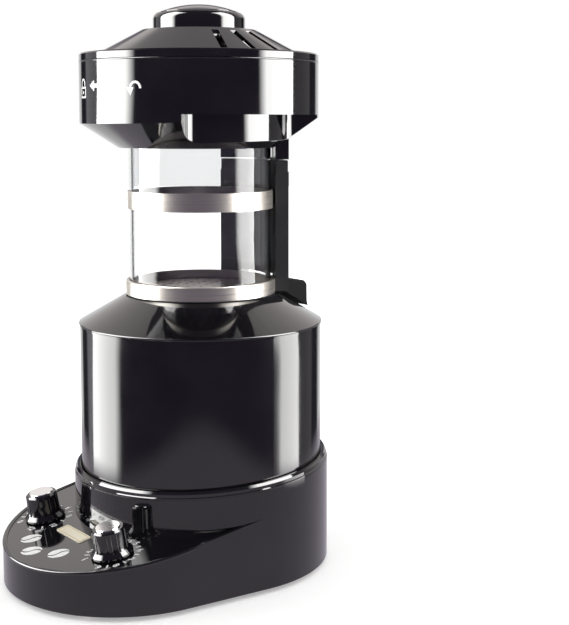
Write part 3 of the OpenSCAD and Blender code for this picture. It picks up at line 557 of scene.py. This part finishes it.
def flat_shapes(shapes):
    """A flat mesh of shapes; each one is its outline and then its holes."""
    mesh = bmesh.new()
    for loops in shapes:
        rings = [[Vector((u, v, 0)) for u, v in loop] for loop in loops]
        corners = [mesh.verts.new(p) for ring in rings for p in ring]
        for triangle in tessellate_polygon(rings):
            mesh.faces.new([corners[i] for i in triangle])
    return mesh


def flat_numbers(numbers):
    """A flat mesh of plain numbers, each one given as (text, x, y) of its middle."""
    mesh = bmesh.new()
    for text, x, y in numbers:
        curve = bpy.data.curves.new("number", "FONT")
        curve.body = text
        curve.size = NUMBER_SIZE
        curve.offset = NUMBER_WEIGHT
        curve.align_x = "CENTER"
        curve.resolution_u = 3
        letters = bpy.data.objects.new("number", curve)
        bpy.context.scene.collection.objects.link(letters)
        bpy.context.view_layer.update()
        data = letters.to_mesh()
        middle = sum((v.co.y for v in data.vertices), 0.0) / len(data.vertices)
        data.transform(Matrix.Translation((x, y - middle, 0)))
        mesh.from_mesh(data)
        letters.to_mesh_clear()
        bpy.data.objects.remove(letters)
        bpy.data.curves.remove(curve)
    return mesh


def lay(name, body, place, flat, look="ink", proud=0.05, longest=1.5, passes=3, join=0.0005):
    """Lays a flat mesh on a surface as a thin closed piece, half above it and half in it."""
    bmesh.ops.triangulate(flat, faces=flat.faces[:])
    bmesh.ops.remove_doubles(flat, verts=flat.verts[:], dist=join)
    for _ in range(passes):
        long_edges = [edge for edge in flat.edges if edge.calc_length() > longest]
        if long_edges:
            bmesh.ops.subdivide_edges(flat, edges=long_edges, cuts=1)
            bmesh.ops.triangulate(flat, faces=flat.faces[:])
    solid = bmesh.new()
    top = {v: solid.verts.new(place(v.co.x, v.co.y, proud)) for v in flat.verts}
    low = {v: solid.verts.new(place(v.co.x, v.co.y, -proud)) for v in flat.verts}
    for face in flat.faces:
        solid.faces.new([top[v] for v in face.verts])
        solid.faces.new([low[v] for v in reversed(face.verts)])
        for loop in face.loops:
            if loop.edge.is_boundary:
                a, b = loop.vert, loop.link_loop_next.vert
                solid.faces.new((low[a], low[b], top[b], top[a]))
    flat.free()
    new_piece(name, solid, look, body)


def dial_scale(name, x, numbers):
    """Ticks and plain numbers round one control knob, with a gap towards the user."""
    ticks, words = [], []
    steps = 2 * (len(numbers) - 1)
    for i in range(steps + 1):
        turn = math.radians(90 + SCALE_HALF - 2 * SCALE_HALF * i / steps)
        c, s = math.cos(turn), math.sin(turn)
        if i % 2 == 0:
            words.append((str(numbers[i // 2]), x + NUMBER_R * c, KNOB_V + NUMBER_R * s))
        else:
            line = [(x + r * c, KNOB_V + r * s) for r in (TICK_FROM, TICK_TO)]
            ticks.append([stroke(line, TICK_W)])
    lay(f"{name}_ticks", "base", on_panel, flat_shapes(ticks))
    lay(f"{name}_numbers", "base", on_panel, flat_numbers(words))


def knob_pointer(name, x, steps=4):
    """A white line up the knob's side, over its skirt and grip."""
    def on_knob(u, v, h):
        i = min(int(v), len(KNOB_SIDE) - 2)
        (r0, z0), (r1, z1) = KNOB_SIDE[i], KNOB_SIDE[i + 1]
        radius, height = r0 + (r1 - r0) * (v - i), z0 + (z1 - z0) * (v - i)
        return on_panel(x + u, KNOB_V + radius + h, height + KNOB_LIFT + PANEL_SINK)

    line = [(0, i / steps) for i in range(1, steps * (len(KNOB_SIDE) - 1) + 1)]
    flat = flat_shapes([[stroke(line, POINTER_W)]])
    lay(f"{name}_pointer", f"{name}_dial", on_knob, flat, longest=0.6)


def printed_marks():
    dial_scale("timer", -KNOB_X, range(0, 13, 2))
    dial_scale("roast", KNOB_X, range(1, 10))
    knob_pointer("timer", -KNOB_X)
    knob_pointer("roast", KNOB_X)
    beans = [half for place in BEAN_SIGNS for half in bean_sign(*place)]
    lay("roast_signs", "base", on_panel, flat_shapes(beans))
    frame_line = box_line(PLATE_W - FRAME_IN, PLATE_L - FRAME_IN, FRAME_LINE)
    lay("plate_frame", "base", on_plate, flat_shapes([frame_line]), look="gold")
    degree = math.radians(CUP_R)
    signs = [*padlock_sign(PADLOCK_AT * degree, PADLOCK_H), arrow_sign(ARROW_AT * degree, ARROW_H),
             *hook_sign(HOOK_AT * degree, HOOK_H)]
    lay("twist_signs", "head", on_cup, flat_shapes(signs))


# ---- Studio ----

facing = math.radians(VIEW_AZIMUTH)
to_camera = Vector((math.sin(facing), -math.cos(facing), 0))
to_right = Vector((-to_camera.y, to_camera.x, 0))
axis_foot = Vector((0, AXIS_Y, 0))


def around(angle, distance, height):
    """A place in the studio, round the drum's axis."""
    turn = math.radians(angle)
    out = math.cos(turn) * to_camera + math.sin(turn) * to_right
    return axis_foot + distance * out + Vector((0, 0, height))


def curved_card(name, outline, distance, material, columns=16):
    """A sheet round the drum's axis, whose UV map says how far across and up a place is."""
    mesh = bmesh.new()
    across = mesh.loops.layers.uv.new("across")
    rows = []
    for height, outer, inner in outline:
        angles = [outer + (inner - outer) * i / columns for i in range(columns + 1)]
        rows.append([mesh.verts.new(around(angle, distance, height)) for angle in angles])
    for level, (low, high) in enumerate(zip(rows, rows[1:])):
        for i in range(columns):
            face = mesh.faces.new((low[i], low[i + 1], high[i + 1], high[i]))
            corners = ((i, level), (i + 1, level), (i + 1, level + 1), (i, level + 1))
            for loop, (u, v) in zip(face.loops, corners):
                loop[across].uv = (u / columns, v)
    return new_object(name, mesh, material)


def lamp_glow(name, low, high):
    """Glow of a lamp: weaker below the table, and fading towards its inner edge."""
    s = Shader(name)
    s.tree.nodes.remove(s.surface)
    across = s.split(s.add("ShaderNodeUVMap", {"uv_map": "across"}).outputs["UV"])["X"]
    fade = s.spread(across, 1.0, 0.02, SOFT_EDGE, 1.0)
    rise = s.spread(s.split(s.place)["Z"], low, high, -0.03, 0.1)
    return s.show(s.add("ShaderNodeEmission", Color=rgb(1, 0.995, 0.985),
                        Strength=s.calc("MULTIPLY", fade, rise)))


def lamp(name, outline, distance, power):
    """A glowing card for one kind of ray: a fill lights the object, and gloss shows a sheen."""
    card = curved_card(name, outline, distance, lamp_glow(name, *power))
    card.visible_camera = False
    card.visible_transmission = False
    card.visible_shadow = False
    card.visible_diffuse = name.endswith("fill")
    card.visible_glossy = name.endswith("sheen")


def studio_lamps():
    """Two tall soft lamps at the sides, each with a fill and a sheen."""
    for side in ("left", "right"):
        lamp(f"{side}_fill", FILLS[side], FILL_DISTANCE, FILL_POWER)
        lamp(f"{side}_sheen", SHEENS[side], SHEEN_DISTANCE, SHEEN_POWER)


def colour_ramp(nodes, value, stops):
    """A colour that follows stops of (place from 0 to 1, colour)."""
    node = nodes.add("ShaderNodeValToRGB", {}, value)
    ramp = node.color_ramp
    while len(ramp.elements) < len(stops):
        ramp.elements.new(0.5)
    for element, (place, colour) in zip(ramp.elements, stops):
        element.position = place
        element.color = colour
    return node.outputs["Color"]


def studio_world():
    """White to the eye. Gloss sees a dark room with black flags and a white wall at the back."""
    world = bpy.data.worlds.new("studio")
    bpy.context.scene.world = world
    world.use_nodes = True
    w = Nodes(world.node_tree)
    w.tree.nodes.clear()
    sky = w.add("ShaderNodeTexCoord").outputs["Generated"]

    def along(direction):
        dot = w.add("ShaderNodeVectorMath", {"operation": "DOT_PRODUCT"}, sky, direction)
        return dot.outputs["Value"]

    def step(value, start, end):
        return w.spread(value, 0.0, 1.0, start, end, "SMOOTHSTEP")

    turn = w.calc("ARCTAN2", along(to_right), along(to_camera))
    round_about = w.calc("MULTIPLY_ADD", turn, 0.5 / math.pi, 0.5)
    stops = [(0.5 + angle / 360, colour) for angle, colour in HORIZON]
    horizon = colour_ramp(w, round_about, stops)

    height = along((0, 0, 1))
    gap = w.calc("MULTIPLY", step(height, *GAP_FOOT), step(height, *GAP_TOP))
    dim = w.calc("MAXIMUM", w.calc("MULTIPLY", gap, GAP_DEPTH),
                 w.calc("MULTIPLY", step(height, *HIGH_WALL), HIGH_DEPTH))
    aside = step(w.calc("ABSOLUTE", along(to_right)), *GAP_SIDE)
    keep = w.calc("MAXIMUM", w.calc("SUBTRACT", 1.0, dim), aside)
    behind = step(along(-to_camera), *WALL_REACH)
    wall = w.blend(w.calc("MULTIPLY", behind, keep), DARK, WALL)
    room = w.blend(step(height, *CEILING_FOOT), wall, CEILING)
    gloss = w.blend(step(height, *WALL_FOOT), horizon, room)

    lit = w.blend(w.light_path()["Is Glossy Ray"], WHITE, gloss)
    background = w.add("ShaderNodeBackground", {}, w.blend(w.seen(), lit, WHITE), 1.0)
    w.add("ShaderNodeOutputWorld", {}, background.outputs[0])


def floor_material():
    """A pale floor for light, which glows white to the eye. Gloss sees a small pale table."""
    s = Shader("pale_floor")
    grain = s.spread(s.noise(900, 3), 0, 1)
    s.finish(Base_Color=s.blend(grain, rgb(0.8, 0.8, 0.8), rgb(0.83, 0.83, 0.825)),
             Roughness=0.8, Specular_IOR_Level=0.1)
    fade = s.spread(s.distance(s.place), 0.3, 1.0, *FLOOR_FADE)
    glow = s.add("ShaderNodeEmission", Strength=fade)
    lifted = s.add("ShaderNodeAddShader", {}, s.surface.outputs[0], glow.outputs[0])

    # The table ends before the lamps, sooner at the sides
    towards_camera = (0, 0, math.atan2(to_camera.y, to_camera.x))
    turned = s.add("ShaderNodeMapping", {"vector_type": "TEXTURE"}, Vector=s.place,
                   Location=axis_foot, Rotation=towards_camera, Scale=TABLE_REACH)
    edge = s.spread(s.distance(turned.outputs["Vector"]), 0.0, 1.0, *TABLE_EDGE)
    sheen = s.add("ShaderNodeEmission", Color=rgb(1.0, 0.92, 1.04), Strength=TABLE_SHEEN)
    table = s.either(edge, sheen, s.add("ShaderNodeBsdfTransparent"))
    mirrored = s.either(s.light_path()["Is Glossy Ray"], s.surface, table)
    return s.show(s.either(s.seen(), mirrored, lifted))


def floor():
    """A floor that fades into the white behind it, and keeps the object's soft shadow."""
    mesh = bmesh.new()
    bmesh.ops.create_circle(mesh, cap_ends=True, radius=FLOOR_R, segments=96)
    disc = new_object("floor", mesh, floor_material())
    disc.location = (0, 0, -FLOOR_SINK)


def camera():
    data = bpy.data.cameras.new("view")
    data.sensor_width = 36
    data.lens = VIEW_LENS
    data.shift_y = VIEW_SHIFT
    data.clip_start = 0.01
    data.clip_end = 20
    eye = bpy.data.objects.new("view", data)
    bpy.context.scene.collection.objects.link(eye)
    eye.location = axis_foot + VIEW_DISTANCE * to_camera + Vector((0, 0, VIEW_HEIGHT))
    heading = math.radians(VIEW_AZIMUTH + VIEW_YAW)
    eye.rotation_euler = (math.radians(90 - VIEW_PITCH), 0, heading)
    bpy.context.scene.camera = eye


dress_nodes()
soften_edges()
rounded_edges()
printed_marks()
studio_world()
studio_lamps()
floor()
camera()
bpy.context.scene.view_settings.view_transform = "Standard"
